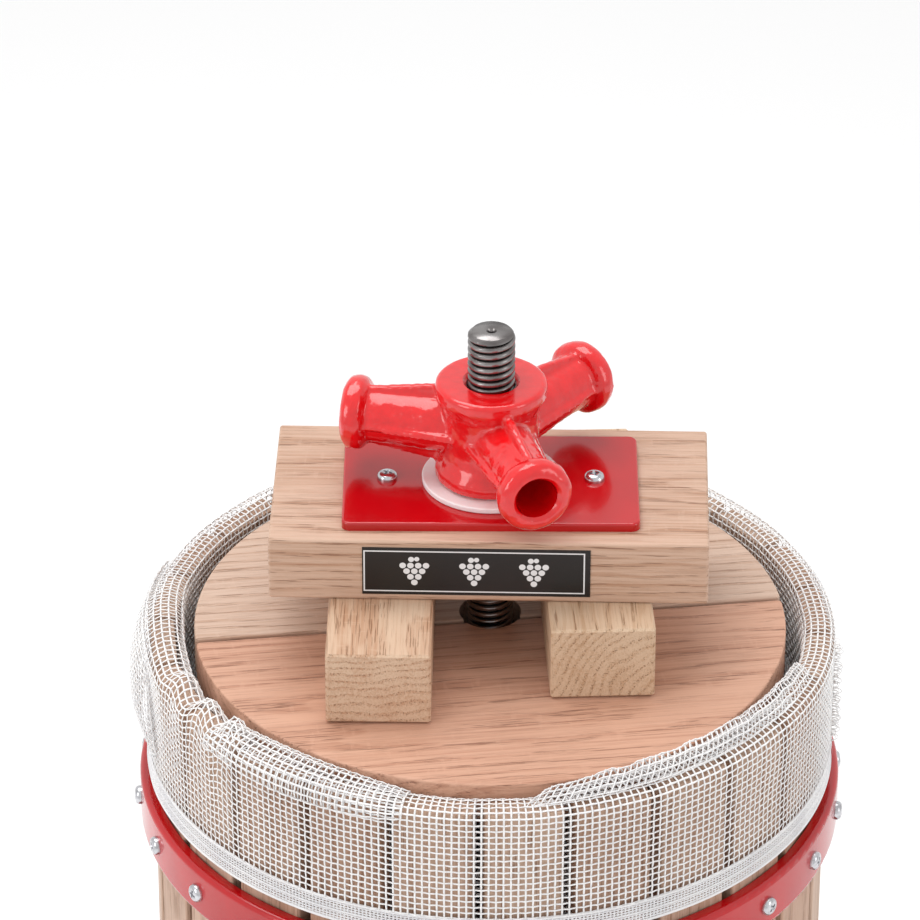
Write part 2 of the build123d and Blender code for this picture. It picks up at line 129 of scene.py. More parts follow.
class Recipe:
    """The nodes of one material, from its coordinates to its surface."""

    def __init__(self, name):
        self.material = bpy.data.materials.new(name)
        self.material.use_nodes = True
        self.tree = self.material.node_tree
        self.tree.nodes.clear()

    def add(self, kind, settings=None, sockets=None):
        """A node of a kind, with its settings made first and then its sockets set or linked."""
        node = self.tree.nodes.new(kind)
        for key, value in (settings or {}).items():
            setattr(node, key, value)
        for key, value in (sockets or {}).items():
            if isinstance(value, Shade):
                self.tree.links.new(value.socket, node.inputs[key])
            else:
                node.inputs[key].default_value = value
        return Shade(self, node.outputs[0]) if node.outputs else node

    def millimetres(self, turn=(0, 0, 0), shift=(0, 0, 0)):
        """The piece's own coordinates in millimetres, turned and then shifted."""
        own = self.add("ShaderNodeTexCoord").side("Object")
        placed = {"Vector": own, "Scale": (1000, 1000, 1000), "Rotation": turn, "Location": shift}
        return self.add("ShaderNodeMapping", None, placed)

    def split(self, vector):
        parts = self.add("ShaderNodeSeparateXYZ", None, {"Vector": vector})
        return parts.side("X"), parts.side("Y"), parts.side("Z")

    def join(self, x, y, z):
        return self.add("ShaderNodeCombineXYZ", None, {"X": x, "Y": y, "Z": z})

    def noise(self, vector, scale=(1, 1, 1), detail=2.0, roughness=0.5):
        """Noise from 0 to 1, with a scale in cycles per millimetre along each axis."""
        stretched = self.add("ShaderNodeMapping", None, {"Vector": vector, "Scale": scale})
        sockets = {"Vector": stretched, "Scale": 1.0, "Detail": detail, "Roughness": roughness}
        return self.add("ShaderNodeTexNoise", None, sockets)

    def blend(self, share, first, second):
        """A colour between two colours."""
        settings = {"data_type": "RGBA"}
        return self.add("ShaderNodeMix", settings, {0: share, 6: first, 7: second}).side(2)

    def relief(self, height, depth):
        """Bump for a height from 0 to 1, with its depth in metres."""
        sockets = {"Height": height, "Distance": depth, "Strength": 1.0}
        return self.add("ShaderNodeBump", None, sockets)

    def surface(self, sockets):
        """The finished material, from the sockets of its one Principled shader."""
        shader = self.add("ShaderNodeBsdfPrincipled", None, sockets)
        self.add("ShaderNodeOutputMaterial", None, {"Surface": shader})
        return self.material


def linear(red, green, blue):
    """A display colour, 0 to 255, as the linear colour that shaders take."""
    return (*((c / 255) ** 2.2 for c in (red, green, blue)), 1.0)


def dress(names, material):
    """Give CAD nodes their material."""
    for name in names:
        for slot in frame["nodes"][name].material_slots:
            slot.material = material


# Tray, spout, anchor plate and legs: pressed and folded steel under a thick red enamel, with
# the faint orange peel of a sprayed coat.
def enamel(name, colour, peel, gloss):
    """Sprayed enamel: peel is the depth of its orange peel in metres, gloss its roughness."""
    r = Recipe(name)
    place = r.millimetres()
    ripple = r.noise(place, (0.16, 0.16, 0.16), 2.0)
    drift = r.noise(place, (0.02, 0.02, 0.02), 3.0)
    dark = tuple(c * 0.82 for c in colour[:3]) + (1.0,)
    tint = r.blend(drift.step(0.3, 0.7), colour, dark)
    return r.surface({
        "Base Color": tint,
        "Roughness": drift * 0.10 + gloss,
        "Coat Weight": 0.4,
        "Coat Roughness": 0.05,
        "Normal": r.relief(ripple, peel),
    })


red_enamel = enamel("red_enamel", linear(189, 11, 22), 0.00002, 0.12)
dress(["base_tray", "spout", "anchor_plate", "leg_rear", "leg_front_left", "leg_front_right",
       "upper_hoop", "lower_hoop", "cap_plate"], red_enamel)


# Bolts, nuts and washers: zinc-plated steel with a brushed, slightly clouded finish.
def plated(name, colour, gloss):
    """Plated steel of a colour, gloss its least roughness."""
    r = Recipe(name)
    place = r.millimetres()
    cloud = r.noise(place, (0.4, 0.4, 0.4), 4.0)
    brushed = r.noise(place, (1.5, 1.5, 12), 2.0)
    dull = tuple(c * 0.7 for c in colour[:3]) + (1.0,)
    return r.surface({
        "Base Color": r.blend(cloud.step(0.35, 0.7), colour, dull),
        "Metallic": 1.0,
        "Roughness": cloud * 0.2 + gloss,
        "Normal": r.relief(brushed, 0.00001),
    })


zinc = plated("zinc_plate", linear(200, 202, 200), 0.25)
dress(["leg_bolts", "leg_nuts", "lower_washer", "lower_nut", "upper_washer", "upper_nut"], zinc)

# Tray seal: a black rubber ring, squeezed between the tray and the upper washer so that juice
# doesn't run out round the spindle.
r = Recipe("seal_rubber")
grit = r.noise(r.millimetres(), (1.2, 1.2, 1.2), 4.0)
dress(["tray_seal"], r.surface({
    "Base Color": r.blend(grit, linear(22, 22, 22), linear(44, 43, 42)),
    "Roughness": grit * 0.2 + 0.6,
    "Normal": r.relief(grit, 0.00008),
}))


def new_piece(name, vertices, faces, material, smooth=True):
    """An object at the origin, its place in its mesh."""
    mesh = bpy.data.meshes.new(name)
    vertices = np.asarray(vertices, float).reshape(-1, 3)
    mesh.from_pydata(vertices.tolist(), [], [list(map(int, face)) for face in faces])
    mesh.update()
    mesh.polygons.foreach_set("use_smooth", [smooth] * len(mesh.polygons))
    piece = bpy.data.objects.new(name, mesh)
    bpy.context.scene.collection.objects.link(piece)
    mesh.materials.append(material)
    return piece


# Spindle: a steel bar with a rolled, round-shouldered trapezoidal thread of 4 mm pitch, with
# painted shade darkening its roots, turned to a chamfer at the tip and centre-drilled.
spindle_low, spindle_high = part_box("spindle")
spindle_r = spindle_high.x
thread_pitch = 0.004
thread_depth = 0.0017
thread_columns = 44
tip_chamfer = 0.002
centre_hole = [(0.0026, 0.0), (0.0013, -0.0022), (0.0013, -0.005), (0.00005, -0.0056)]
thread_form = [(0.00, 0.0), (0.13, 0.0), (0.22, 0.5), (0.31, 0.93), (0.42, 1.0), (0.66, 1.0),
               (0.77, 0.93), (0.88, 0.5)]


def cut_thread():
    """Rows of points that follow the helix, held between the bar's two chamfered ends."""
    turns = int((spindle_high.z - spindle_low.z) / thread_pitch) + 2
    rows = [(turn + share, rise) for turn in range(-2, turns) for share, rise in thread_form]
    vertices = []
    for turn, rise in rows:
        for column in range(thread_columns):
            share = column / thread_columns
            z = spindle_low.z + (turn + share) * thread_pitch
            z = min(max(z, spindle_low.z), spindle_high.z)
            to_end = min(spindle_high.z - z, z - spindle_low.z)
            r = min(spindle_r - thread_depth * (1 - rise), spindle_r - tip_chamfer + to_end)
            vertices.append((r * cos(2 * pi * share), r * sin(2 * pi * share), z))
    count = len(rows)

    def corner(row, column):
        if column == thread_columns:
            row, column = row + len(thread_form), 0
        return min(row, count - 1) * thread_columns + column

    faces = [
        (corner(i, j), corner(i, j + 1), corner(i + 1, j + 1), corner(i + 1, j))
        for i in range(count - 1)
        for j in range(thread_columns)
    ]
    ring = (count - 1) * thread_columns
    for r, drop in centre_hole:
        start = len(vertices)
        for column in range(thread_columns):
            turn = 2 * pi * column / thread_columns
            vertices.append((r * cos(turn), r * sin(turn), spindle_high.z + drop))
        for j in range(thread_columns):
            k = (j + 1) % thread_columns
            faces.append((ring + j, ring + k, start + k, start + j))
        ring = start
    faces.append(tuple(ring + j for j in range(thread_columns)))
    faces.append(tuple(reversed(range(thread_columns))))
    return vertices, faces


def tidy_mesh(piece):
    """Merge points that fall together, and drop the faces that closed up."""
    shape = bmesh.new()
    shape.from_mesh(piece.data)
    bmesh.ops.remove_doubles(shape, verts=shape.verts, dist=1e-6)
    bmesh.ops.dissolve_degenerate(shape, edges=shape.edges, dist=1e-7)
    bmesh.ops.recalc_face_normals(shape, faces=shape.faces)
    shape.to_mesh(piece.data)
    shape.free()
    return piece


r = Recipe("screw_steel_painted_root_shade")
place = r.millimetres()
px, py, pz = r.split(place)
radius = (px * px + py * py) ** 0.5
crest_mm = spindle_r * 1000
tip_mm = spindle_high.z * 1000
# Painted shade: the thread's roots, below the crests and away from the tip, are painted near black
# and made less metallic.
root = radius.step(crest_mm - 0.6, crest_mm - 1.5) * pz.step(tip_mm - 0.6, tip_mm - 2.4)
grime = r.noise(place, (0.10, 0.10, 0.25), 2.0)
lathe = r.noise(place, (0.3, 0.3, 9.0), 2.0)
steel = r.blend(grime.step(0.3, 0.75), linear(150, 146, 145), linear(112, 107, 106))
screw_steel = r.surface({
    "Base Color": r.blend(root, steel, linear(28, 25, 24)),
    "Metallic": 1.0 - root * 0.4,
    "Roughness": grime * 0.12 + 0.20,
    "Normal": r.relief(lathe, 0.00001),
})
threaded_bar = tidy_mesh(new_piece("threaded_bar", *cut_thread(), screw_steel))
threaded_bar.data.set_sharp_from_angle(angle=radians(50))
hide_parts("spindle")
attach(threaded_bar, "base")


# Oak: every wooden piece is sawn from solid, so its growth rings, pores and rays run through it
# and show as long grain on its sides and as pore arcs on its ends. Planed, lightly oiled.
def oak(r, along, across, up, pale, deep, pore, ring=4.6, end_grain=1.0):
    """Oak from a piece's three directions in millimetres, as a surface's sockets."""
    grain = r.join(along, across, up)
    bend = r.noise(grain, (0.0045, 0.018, 0.018), 3.0)
    heart = (across * across + up * up) ** 0.5 + (bend - 0.5) * 30
    year = (heart / ring).fraction()
    early = year.step(0.0, 0.08) * year.step(0.55, 0.2)
    fibre = r.noise(grain, (0.010, 0.60, 0.60), 4.0, 0.7)
    streak = r.noise(grain, (0.003, 0.07, 0.07), 3.0)
    dash = r.noise(grain, (0.045, 1.25, 1.25), 2.0, 0.55)
    pores = dash.step(0.555, 0.64) * (early * 0.75 + 0.25)
    ray = r.noise(grain, (0.30, 0.06, 1.1), 2.0).step(0.58, 0.68)
    tone = (fibre - 0.5) * 1.7 + (streak - 0.5) * 0.9 + early * 0.26 + 0.25
    wood = r.blend(tone.step(0.0, 1.0), pale, deep)
    wood = r.blend(ray * 0.30 * end_grain, wood, pale)
    wood = r.blend(pores * 0.62, wood, pore)
    return {
        "Base Color": wood,
        "Roughness": fibre * 0.22 + 0.42,
        "Specular IOR Level": 0.4,
        "Normal": r.relief(fibre * 0.3 - pores, 0.00022),
    }


def oak_piece(node, turn, heart, pale, deep, pore, ring=4.6, end_grain=1.0):
    """Dress one wooden node: its grain follows its X axis once it is turned."""
    r = Recipe("oak_" + node)
    along, across, up = r.split(r.millimetres(turn, heart))
    dress([node], r.surface(oak(r, along, across, up, pale, deep, pore, ring, end_grain)))


plate_yaw = radians(8.4)
beam_yaw = radians(-1.1)
disc_z = plates_top_z * 1000
oak_piece("front_plate", (0, 0, -plate_yaw), (30, 95, -disc_z - 42),
          linear(210, 163, 138), linear(178, 128, 104), linear(122, 78, 58), 6.5)
oak_piece("rear_plate", (0, 0, -plate_yaw), (-60, -118, -disc_z + 13),
          linear(207, 179, 160), linear(181, 145, 122), linear(134, 96, 74), 7.5)
beam_top_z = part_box("crossbeam")[1].z * 1000
oak_piece("crossbeam", (0, 0, -beam_yaw), (0, -14, -beam_top_z - 118),
          linear(202, 169, 147), linear(170, 128, 101), linear(118, 77, 54), 5.2)
blocks_top_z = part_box("block_left")[1].z * 1000
oak_piece("block_left", (0, 0, -radians(90 - 0.5)), (0, -60, -blocks_top_z - 160),
          linear(210, 180, 153), linear(182, 138, 108), linear(132, 90, 60), 4.4)
oak_piece("block_right", (0, 0, -radians(90 + 3)), (0, 105, -blocks_top_z + 70),
          linear(208, 180, 152), linear(184, 148, 116), linear(128, 90, 62), 4.6)

# Staves: each slat is cut from another board, so rings, tone and figure change from one to the
# next round the basket. Grain stands upright; the faces are planed and the arrises broken.
staves = sorted(name for name in frame["nodes"] if name.startswith("stave_"))
stave_turn = 2 * pi / len(staves)
first_stave = radians(5.8)
r = Recipe("oak_staves")
px, py, pz = r.split(r.millimetres())
azimuth = r.add("ShaderNodeMath", {"operation": "ARCTAN2"}, {0: px, 1: 0 - py}) - first_stave
slat = (azimuth / stave_turn + 0.5).whole()
aside = azimuth - slat * stave_turn
radius = (px * px + py * py) ** 0.5
board = r.add("ShaderNodeTexWhiteNoise", {"noise_dimensions": "1D"}, {"W": slat * 1.37 + 5.1})
luck_a, luck_b, luck_c = r.split(board.side("Color"))
across = radius * r.add("ShaderNodeMath", {"operation": "SINE"}, {0: aside}) + (luck_a - 0.5) * 90
up = radius - 175 + luck_b * 120 + 12
pale_a = r.blend(luck_c, linear(206, 178, 158), linear(190, 156, 134))
deep_a = r.blend(luck_c, linear(182, 148, 124), linear(162, 122, 98))
dress(staves, r.surface(oak(r, pz + luck_a * 900, across, up, pale_a, deep_a,
                            linear(126, 90, 68), 5.0)))

# Hoops, cap plate and beam screws: bright-plated pan-head screws with a cross recess, driven
# into the middle of every stave at each hoop and through the cap plate into the crossbeam.
screw_head_r = 0.0049
screw_head_h = 0.0032
recess_reach = 0.0026
recess_half_w = 0.00062
recess_depth = 0.0019


def pan_head():
    """A screw head on z = 0, turned to a dome, with its tapered cross recess cut out."""
    profile = [(1.0, 0.0), (1.0, 0.30), (0.97, 0.52), (0.86, 0.78), (0.66, 0.94), (0.4, 1.0)]
    sides = 28
    vertices = [
        (screw_head_r * r * cos(2 * pi * k / sides), screw_head_r * r * sin(2 * pi * k / sides),
         screw_head_h * z)
        for r, z in profile
        for k in range(sides)
    ]
    faces = [
        (i * sides + k, i * sides + (k + 1) % sides, (i + 1) * sides + (k + 1) % sides,
         (i + 1) * sides + k)
        for i in range(len(profile) - 1)
        for k in range(sides)
    ]
    faces.append(tuple((len(profile) - 1) * sides + k for k in range(sides)))
    faces.append(tuple(reversed(range(sides))))
    head = new_piece("pan_head", vertices, faces, chrome)
    for turn in (0, pi / 2):
        outline = []
        for z, reach, half_w in ((0.001, recess_reach * 1.25, recess_half_w * 1.2),
                                 (-recess_depth, recess_reach * 0.35, recess_half_w * 0.7)):
            for sx, sy in ((-1, -1), (1, -1), (1, 1), (-1, 1)):
                x, y = sx * reach, sy * half_w
                outline.append((x * cos(turn) - y * sin(turn), x * sin(turn) + y * cos(turn),
                                screw_head_h + z))
        sides_of_bit = [(0, 3, 2, 1), (4, 5, 6, 7), (0, 1, 5, 4), (1, 2, 6, 5), (2, 3, 7, 6),
                        (3, 0, 4, 7)]
        bit = tidy_mesh(new_piece("driver_bit", outline, sides_of_bit, chrome))
        cut(head, bit)
    head.data.set_sharp_from_angle(angle=radians(35))
    return head


def cut(piece, tool):
    """Take a tool's shape out of a piece, and throw the tool away."""
    knife = piece.modifiers.new("cut", "BOOLEAN")
    knife.operation = "DIFFERENCE"
    knife.solver = "EXACT"
    knife.object = tool
    bake_modifiers(piece)
    bpy.data.objects.remove(tool)


def bake_modifiers(piece):
    """Make what a piece's modifiers show its plain mesh."""
    depsgraph = bpy.context.evaluated_depsgraph_get()
    made = bpy.data.meshes.new_from_object(piece.evaluated_get(depsgraph))
    piece.modifiers.clear()
    piece.data = made


def driver(name, inputs):
    """A Geometry Nodes tree that seats one screw on every point of a mesh, facing outward."""
    tree = bpy.data.node_groups.new(name, "GeometryNodeTree")
    for label, kind in inputs:
        tree.interface.new_socket(label, in_out="INPUT", socket_type=kind)
    tree.interface.new_socket("Geometry", in_out="OUTPUT", socket_type="NodeSocketGeometry")

    def node(kind, settings=None, links=None):
        made = tree.nodes.new(kind)
        for key, value in (settings or {}).items():
            setattr(made, key, value)
        for key, value in (links or {}).items():
            if isinstance(value, bpy.types.NodeSocket):
                tree.links.new(value, made.inputs[key])
            else:
                made.inputs[key].default_value = value
        return made

    given = node("NodeGroupInput").outputs
    facing = node("GeometryNodeInputNamedAttribute", {"data_type": "FLOAT_VECTOR"},
                  {"Name": "outward"}).outputs["Attribute"]
    aligned = node("FunctionNodeAlignRotationToVector", {"axis": "Z"}, {"Vector": facing})
    twist = node("FunctionNodeRandomValue", {"data_type": "FLOAT"},
                 {2: 0.0, 3: given["Most twist"], "Seed": given["Seed"]}).outputs[1]
    spin = node("FunctionNodeAxisAngleToRotation", None, {"Axis": (0, 0, 1), "Angle": twist})
    seated = node("FunctionNodeRotateRotation", {"rotation_space": "LOCAL"},
                  {"Rotation": aligned.outputs[0], "Rotate By": spin.outputs[0]})
    screw = node("GeometryNodeObjectInfo", None, {"Object": given["Screw"]})
    placed = node("GeometryNodeInstanceOnPoints", None, {
        "Points": given["Seats"], "Instance": screw.outputs["Geometry"],
        "Rotation": seated.outputs[0], "Scale": given["Size"]})
    real = node("GeometryNodeRealizeInstances", None, {"Geometry": placed.outputs[0]})
    plated_screws = node("GeometryNodeSetMaterial", None,
                         {"Geometry": real.outputs[0], "Material": given["Plating"]})
    node("NodeGroupOutput", None, {"Geometry": plated_screws.outputs[0]})
    return tree


def drive_screws(name, seats, size, seed, body, node):
    """Screws of one group, each seat a place and the direction that its head faces."""
    piece = new_piece(name, [place for place, facing in seats], [], chrome)
    outward = piece.data.attributes.new("outward", "FLOAT_VECTOR", "POINT")
    outward.data.foreach_set("vector", [c for place, facing in seats for c in facing])
    fitting = piece.modifiers.new("screws", "NODES")
    fitting.node_group = screw_driver
    values = {"Screw": screw_head, "Size": (size, size, size), "Most twist": 1.57, "Seed": seed,
              "Plating": chrome}
    for item in screw_driver.interface.items_tree:
        if item.in_out == "INPUT" and item.name in values:
            fitting[item.identifier] = values[item.name]
    bake_modifiers(piece)
    piece.data.set_sharp_from_angle(angle=radians(35))
    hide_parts(node)
    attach(piece, body)


chrome = plated("bright_plate", linear(214, 214, 218), 0.10)
screw_head = pan_head()
screw_driver = driver("screw_driver", [
    ("Seats", "NodeSocketGeometry"), ("Screw", "NodeSocketObject"), ("Size", "NodeSocketVector"),
    ("Most twist", "NodeSocketFloat"), ("Seed", "NodeSocketInt"), ("Plating", "NodeSocketMaterial"),
])
for seed, hoop in enumerate(("upper_hoop", "lower_hoop")):
    low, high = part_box(hoop)
    hoop_seats = []
    for k in range(len(staves)):
        turn = first_stave + stave_turn * k
        way = (sin(turn), -cos(turn), 0)
        hoop_seats.append(((high.x * way[0], high.x * way[1], (low.z + high.z) / 2), way))
    drive_screws(hoop + "_pan_heads", hoop_seats, 1.0, seed, "basket", hoop + "_screws")
cap_top_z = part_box("cap_plate")[1].z
cap_screw_x = 0.0526
cap_screw_y = 0.0008
cap_screw_size = 1.06
cap_seats = [((side * cap_screw_x, cap_screw_y, cap_top_z), (0, 0, 1)) for side in (-1, 1)]
drive_screws("cap_pan_heads", cap_seats, cap_screw_size, 4, "beam", "cap_screws")
bpy.data.objects.remove(screw_head)

# Press bag: a liner of plain-woven white mesh, hung in the basket and turned out over its rim.
# Threads are about 1 mm thick on a 3.65 mm square; the cloth bunches where it is folded over.
rim_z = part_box("stave_01")[1].z
skirt_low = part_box("bag_hem")[1].z
tray_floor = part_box("stave_01")[0].z
mesh_pitch = 0.00365
threads_round = 304
thread_half_w = 0.00052
thread_half_t = 0.00034
weave_rise = 0.00030


def mesh_threads(points, closed=True, weave=weave_rise):
    """Warp and weft tubes over a grid of points, rows by columns. Returns vertices, faces."""
    rows, columns = points.shape[:2]
    if closed:
        right = np.roll(points, -1, 1) - np.roll(points, 1, 1)
    else:
        right = np.gradient(points, axis=1)
    down = np.gradient(points, axis=0)
    right /= np.linalg.norm(right, axis=2, keepdims=True) + 1e-12
    down /= np.linalg.norm(down, axis=2, keepdims=True) + 1e-12
    out = np.cross(right, down)
    out /= np.linalg.norm(out, axis=2, keepdims=True) + 1e-12
    i, j = np.meshgrid(np.arange(rows), np.arange(columns), indexing="ij")
    over = np.where((i + j) % 2, weave, -weave)[..., None]
    vertices, faces, base = [], [], 0
    for side, lift, along_rows in ((right, over, True), (down, -over, False)):
        middle = points + out * lift
        ring = np.stack([middle + side * thread_half_w, middle + out * thread_half_t,
                         middle - side * thread_half_w, middle - out * thread_half_t], axis=2)
        index = base + np.arange(rows * columns * 4).reshape(rows, columns, 4)
        if along_rows:
            a, b = index[:-1], index[1:]
        elif closed:
            a, b = index, np.roll(index, -1, 1)
        else:
            a, b = index[:, :-1], index[:, 1:]
        for k in range(4):
            m = (k + 1) % 4
            faces.append(np.stack([a[..., k], a[..., m], b[..., m], b[..., k]], -1).reshape(-1, 4))
        if along_rows:
            ends = (index[0], index[-1])
        else:
            ends = () if closed else (index[:, 0], index[:, -1])
        for end in ends:
            faces.append(end.reshape(-1, 4))
        vertices.append(ring.reshape(-1, 3))
        base += ring.size // 3
    return np.concatenate(vertices), np.concatenate(faces)


def hump(turn, middle, half_width):
    """1 at an angle in degrees, falling smoothly to 0 at half_width from it."""
    away = np.abs((turn - middle + 180) % 360 - 180) / half_width
    return np.where(away < 1, 0.5 + 0.5 * np.cos(pi * np.minimum(away, 1)), 0.0)


def ripple(turn, seed):
    """Slow unevenness round the bag, from -1 to 1."""
    luck = np.random.default_rng(seed)
    total = np.zeros_like(turn, dtype=float)
    for waves in (3, 5, 8, 13, 21, 34):
        total += luck.uniform(-1, 1) * np.sin(np.radians(turn * waves) + luck.uniform(0, 6.28))
    return total / 2.4


def along_path(path, spacing):
    """Points evenly spaced along smooth curves through path, points by columns by 2."""
    dense = []
    padded_path = np.concatenate([path[:1], path, path[-1:]])
    for k in range(len(path) - 1):
        p0, p1, p2, p3 = padded_path[k:k + 4]
        for t in np.linspace(0, 1, 12, endpoint=False):
            dense.append(0.5 * (2 * p1 + (p2 - p0) * t + (2 * p0 - 5 * p1 + 4 * p2 - p3) * t**2
                                + (3 * p1 - p0 - 3 * p2 + p3) * t**3))
    dense = np.array(dense + [path[-1]])
    steps = np.linalg.norm(np.diff(dense, axis=0), axis=2)
    walked = np.concatenate([np.zeros((1, dense.shape[1])), np.cumsum(steps, axis=0)])
    count = int(round(walked[-1].mean() / spacing)) + 1
    made = np.empty((count, dense.shape[1], 2))
    for column in range(dense.shape[1]):
        at = np.linspace(0, walked[-1, column], count)
        for c in range(2):
            made[:, column, c] = np.interp(at, walked[:, column], dense[:, column, c])
    return made


def around(profile, turn):
    """Radius and height in millimetres from the rim, by columns, as points in the frame."""
    a = np.radians(turn)
    r, z = profile[..., 0] / 1000, profile[..., 1] / 1000 + rim_z
    return np.stack([r * np.sin(a), -r * np.cos(a), z], axis=-1)


turns = np.arange(threads_round) * 360 / threads_round
uneven = ripple(turns, 3)
uneven_b = ripple(turns, 8)
left_roll = hump(turns, -86, 27)
pleats = hump(turns, -57, 4.5) + 1.1 * hump(turns, -49, 4.0) + 0.6 * hump(turns, -66, 4.5)
right_roll = hump(turns, 42, 34)
rear_rise = hump(turns, 180, 95)
crest = 3.4 + 1.2 * uneven + 9 * left_roll + 10 * pleats + 2.0 * right_roll + 5 * rear_rise
skirt_drop = (skirt_low - rim_z) * 1000


def column_path(*stations):
    """Stations of radius and height, each a number or one value for each column."""
    return np.array([
        np.stack([np.broadcast_to(r, turns.shape), np.broadcast_to(z, turns.shape)], -1)
        for r, z in stations
    ], float)


bag_profile = along_path(column_path(
    (177.5 + 0.3 * uneven, skirt_drop),
    (177.6 + 0.5 * uneven_b, skirt_drop * 0.55),
    (177.9 + 0.6 * uneven, -12),
    (177.6 + 1.5 * left_roll - 2.5 * pleats, -1 + 0.4 * crest),
    (173.0 - 4.0 * pleats, 0.5 + 0.86 * crest),
    (167.5 - 3.0 * left_roll, crest),
    (162.6 - 4.5 * left_roll + 0.5 * uneven_b, 0.62 * crest),
    (161.2 - 1.5 * left_roll, -5),
    (161.1, -22),
    (161.1, -44),
), mesh_pitch * 1000)
bag_grid = around(bag_profile, turns)
thread_points, thread_faces = mesh_threads(bag_grid)

r = Recipe("white_mesh_thread")
twist = r.noise(r.millimetres(), (1.6, 1.6, 1.6), 2.0)
wear = r.noise(r.millimetres(), (0.02, 0.02, 0.02), 3.0)
white_thread = r.surface({
    "Base Color": r.blend(wear.step(0.35, 0.7), linear(250, 249, 248), linear(238, 236, 236)),
    "Roughness": twist * 0.2 + 0.42,
    "Subsurface Weight": 0.25,
    "Subsurface Radius": (0.6, 0.55, 0.5),
    "Subsurface Scale": 0.002,
    "Sheen Weight": 0.25,
    "Normal": r.relief(twist, 0.00012),
})
bag_top = new_piece("bag_top", thread_points, thread_faces, white_thread)


def extra_layer(name, low_turn, high_turn, stations, seed, slant=0.0):
    """Another layer of the same mesh over part of the round, where the bag is folded double."""
    count = int((high_turn - low_turn) / 360 * threads_round) + 1
    own = np.linspace(low_turn, high_turn, count)
    share = (own - low_turn) / (high_turn - low_turn)
    fade = np.sin(pi * share) ** 0.6
    wave = ripple(own * 2, seed)
    path = np.array([
        np.stack(np.broadcast_arrays(*station(share, fade, wave)), -1) for station in stations
    ], float)
    profile = along_path(path, mesh_pitch * 1000)
    leaning = own + slant * np.arange(len(profile))[:, None] * 360 / threads_round
    grid = around(profile, leaning)
    return new_piece(name, *mesh_threads(grid, closed=False), white_thread)


tuck_right = extra_layer("bag_tuck_right", 6, 72, [
    lambda s, f, w: (172.0 + w * 0.5, 2.6 + 3.4 * f),
    lambda s, f, w: (169.0 + w * 0.8, 4.2 + 8.2 * f + w),
    lambda s, f, w: (164.5 + w, 4.6 + 10.4 * f - w),
    lambda s, f, w: (160.8 + 0.5 * w, 3.4 + 8.4 * f),
    lambda s, f, w: (160.6 + 0 * s, -1.0 + 4.0 * f),
], 21, slant=0.7)
tuck_inner = extra_layer("bag_tuck_inner", 14, 64, [
    lambda s, f, w: (170.6 + w, 3.4 + 2.0 * f),
    lambda s, f, w: (166.5 - w, 4.0 + 6.5 * f),
    lambda s, f, w: (162.2 + w * 0.4, 3.0 + 6.0 * f + w),
    lambda s, f, w: (161.4 + 0 * s, 0.0 + 2.0 * f),
], 27, slant=-0.5)
overlap_left = extra_layer("bag_overlap_left", -108, -78, [
    lambda s, f, w: (177.4 + 0 * s, 4.0 + 4.0 * f),
    lambda s, f, w: (179.0 + 4.0 * f, -3.0 + 0 * s),
    lambda s, f, w: (179.6 + 6.4 * f, -17.0 + w),
    lambda s, f, w: (179.6 + 6.0 * f, -34.0 + w),
    lambda s, f, w: (179.0 + 2.4 * f, -47.0 + 0 * s),
], 22, slant=0.3)
crescent = extra_layer("bag_crescent", -53, -14, [
    lambda s, f, w: (161.0 + 0 * s, -4.0 + 0 * s),
    lambda s, f, w: (161.2 + 0 * s, 2.0 + 6.0 * f * (1 - 0.5 * s)),
    lambda s, f, w: (164.5 + w * 0.3, 3.4 + 8.0 * f * (1 - 0.5 * s)),
    lambda s, f, w: (169.5 + 0 * s, 4.4 + 5.5 * f * (1 - 0.5 * s)),
    lambda s, f, w: (174.0 + 1.5 * f, 4.6 + 2.4 * f),
    lambda s, f, w: (178.6 + 0.8 * f, 1.0 + 0 * s),
    lambda s, f, w: (179.0 + 0.6 * f, -3.0 - 3.0 * f),
], 23)

# Bag lining: the rest of the same mesh, hanging flat down the inside of the staves and across
# the tray's floor to the hole that the spindle comes up through.
lining_sides = 150
lining_r = 0.1611
lining_low = tray_floor + 0.0013
lining_top_drop = 0.0425
hole_r = 0.0285


def level_rings(levels, radii):
    """Weft rings as three-sided tubes, one for each level and radius."""
    a = 2 * pi * np.arange(lining_sides) / lining_sides
    vertices, faces = [], []
    for z, r in zip(levels, radii):
        start = len(vertices) * lining_sides
        for dr, dz in ((0.0005, 0.0), (-0.00025, 0.00045), (-0.00025, -0.00045)):
            vertices.append(np.stack([(r + dr) * np.cos(a), (r + dr) * np.sin(a),
                                      np.full_like(a, z + dz)], -1))
        index = start + np.arange(3 * lining_sides).reshape(3, lining_sides)
        ahead = np.roll(index, -1, 1)
        for k in range(3):
            m = (k + 1) % 3
            faces.append(np.stack([index[k], ahead[k], ahead[m], index[m]], -1))
    return np.concatenate(vertices), np.concatenate(faces)


